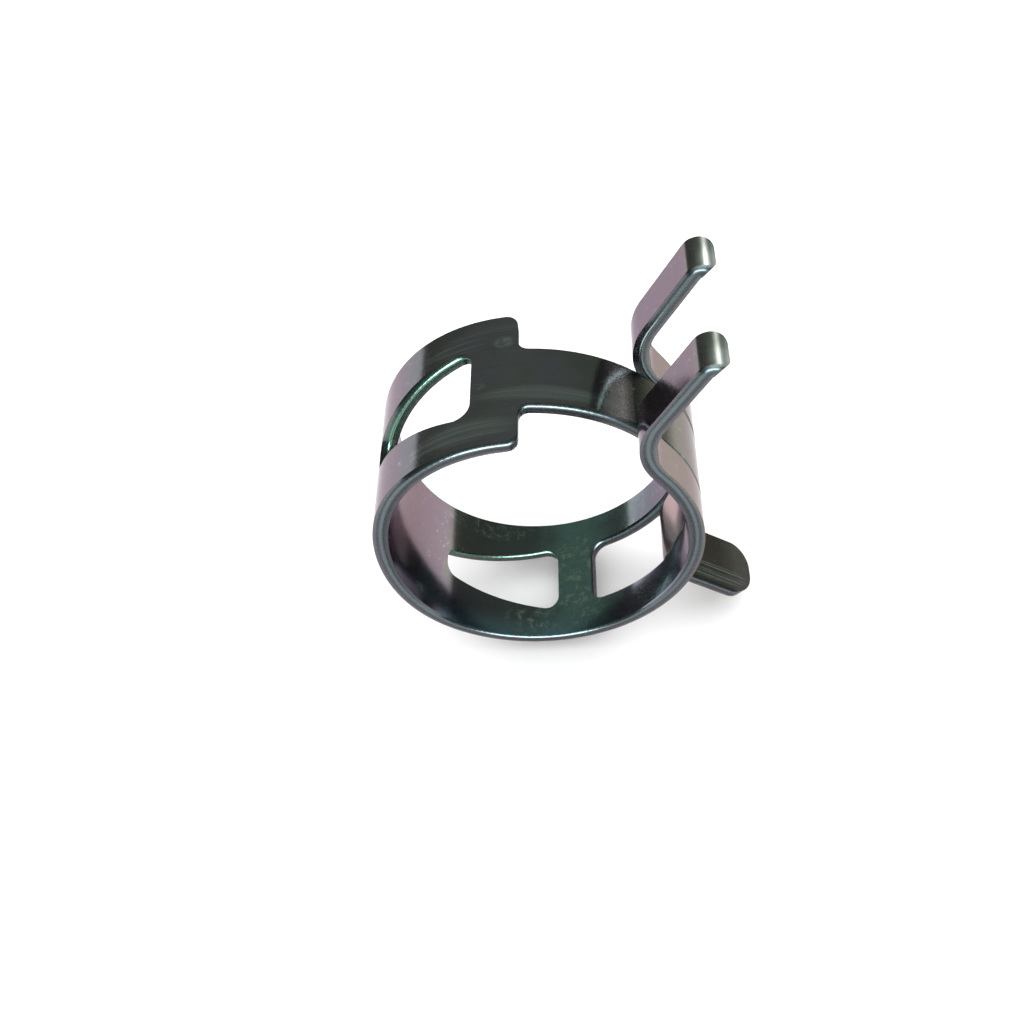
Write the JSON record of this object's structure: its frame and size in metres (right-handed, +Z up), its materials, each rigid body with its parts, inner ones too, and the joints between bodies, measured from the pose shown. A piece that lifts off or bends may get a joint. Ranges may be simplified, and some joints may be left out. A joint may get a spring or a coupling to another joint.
{
  "type": "hose clamp",
  "caption": "Self-tightening spring band hose clamp: a slotted steel band overlapping itself, tongue through a fork, opened by squeezing tab and ears.",
  "frame": {"origin": "centre of the hose bore, midway across the band's width, in the relaxed state", "axes": "+Y along the bore axis towards the rear rim, +Z up as the clamp stands on the bottom of its ring and the tip of its tab, +X towards the side where tongue and fork cross"},
  "size_m": [0.0323, 0.012, 0.0374],
  "materials": {
    "mauve_zinc": "iridescent passivated zinc plate on spring steel",
    "slate_zinc": "iridescent passivated zinc plate on spring steel",
    "teal_zinc": "iridescent passivated zinc plate on spring steel"
  },
  "bodies": {
    "back": {"back_band": "mauve_zinc"},
    "upper_window": {"upper_window_front_rail": "slate_zinc", "upper_window_rear_rail": "slate_zinc"},
    "shoulder": {"shoulder_plate": "slate_zinc"},
    "tongue_root": {"tongue_root": "slate_zinc"},
    "tongue_middle": {"tongue_middle": "slate_zinc"},
    "tongue_end": {"tongue_end": "slate_zinc", "release_tab": "slate_zinc"},
    "lower_window": {"lower_window_front_rail": "teal_zinc", "lower_window_rear_rail": "teal_zinc"},
    "bridge": {"bridge_plate": "teal_zinc"},
    "fork_root": {"front_prong_root": "mauve_zinc", "rear_prong_root": "mauve_zinc"},
    "fork_middle": {"front_prong_middle": "mauve_zinc", "rear_prong_middle": "mauve_zinc"},
    "fork_end": {"front_prong_end": "mauve_zinc", "rear_prong_end": "mauve_zinc", "front_ear": "mauve_zinc", "rear_ear": "mauve_zinc"}
  },
  "joints": [
    {"name": "ring_opening", "type": "hinge", "parent": "back", "child": "lower_window", "pos_m": [-0.0084, 0, -0.01142], "axis": [0, 1, 0], "range_deg": [0, 10.6], "stiffness_Nm_per_rad": 2},
    {"name": "bridge_flex", "type": "hinge", "parent": "lower_window", "child": "bridge", "pos_m": [-0.00028, 0, -0.01469], "axis": [0, 1, 0], "range_deg": [0, 6], "stiffness_Nm_per_rad": 0.05},
    {"name": "fork_root_flex", "type": "hinge", "parent": "bridge", "child": "fork_root", "pos_m": [0.00651, 0, -0.01232], "axis": [0, 1, 0], "range_deg": [0, 6.3], "stiffness_Nm_per_rad": 0.05},
    {"name": "fork_middle_flex", "type": "hinge", "parent": "fork_root", "child": "fork_middle", "pos_m": [0.0119, 0, -0.00491], "axis": [0, 1, 0], "range_deg": [0, 7.3], "stiffness_Nm_per_rad": 0.05},
    {"name": "fork_end_flex", "type": "hinge", "parent": "fork_middle", "child": "fork_end", "pos_m": [0.01244, 0, 0.00425], "axis": [0, 1, 0], "range_deg": [0, 6], "stiffness_Nm_per_rad": 0.05},
    {"name": "upper_window_flex", "type": "hinge", "parent": "back", "child": "upper_window", "pos_m": [-0.01115, 0, 0.00714], "axis": [0, -1, 0], "range_deg": [0, 10.6], "stiffness_Nm_per_rad": 0.05},
    {"name": "shoulder_flex", "type": "hinge", "parent": "upper_window", "child": "shoulder", "pos_m": [-0.00503, 0, 0.01347], "axis": [0, -1, 0], "range_deg": [0, 5.6], "stiffness_Nm_per_rad": 0.05},
    {"name": "tongue_root_flex", "type": "hinge", "parent": "shoulder", "child": "tongue_root", "pos_m": [0.00082, 0, 0.01448], "axis": [0, -1, 0], "range_deg": [0, 5.9], "stiffness_Nm_per_rad": 0.05},
    {"name": "tongue_middle_flex", "type": "hinge", "parent": "tongue_root", "child": "tongue_middle", "pos_m": [0.0092, 0, 0.01029], "axis": [0, -1, 0], "range_deg": [0, 7.3], "stiffness_Nm_per_rad": 0.05},
    {"name": "tongue_end_flex", "type": "hinge", "parent": "tongue_middle", "child": "tongue_end", "pos_m": [0.01283, 0, 0.0017], "axis": [0, -1, 0], "range_deg": [0, 6.6], "stiffness_Nm_per_rad": 0.05}
  ],
  "couplings": [
    {"joint": "bridge_flex", "follows": "ring_opening", "ratio": 0.566},
    {"joint": "fork_root_flex", "follows": "ring_opening", "ratio": 0.5943},
    {"joint": "fork_middle_flex", "follows": "ring_opening", "ratio": 0.6886},
    {"joint": "fork_end_flex", "follows": "ring_opening", "ratio": 0.566},
    {"joint": "upper_window_flex", "follows": "ring_opening", "ratio": 1},
    {"joint": "shoulder_flex", "follows": "ring_opening", "ratio": 0.5283},
    {"joint": "tongue_root_flex", "follows": "ring_opening", "ratio": 0.5566},
    {"joint": "tongue_middle_flex", "follows": "ring_opening", "ratio": 0.6886},
    {"joint": "tongue_end_flex", "follows": "ring_opening", "ratio": 0.6226}
  ]
}
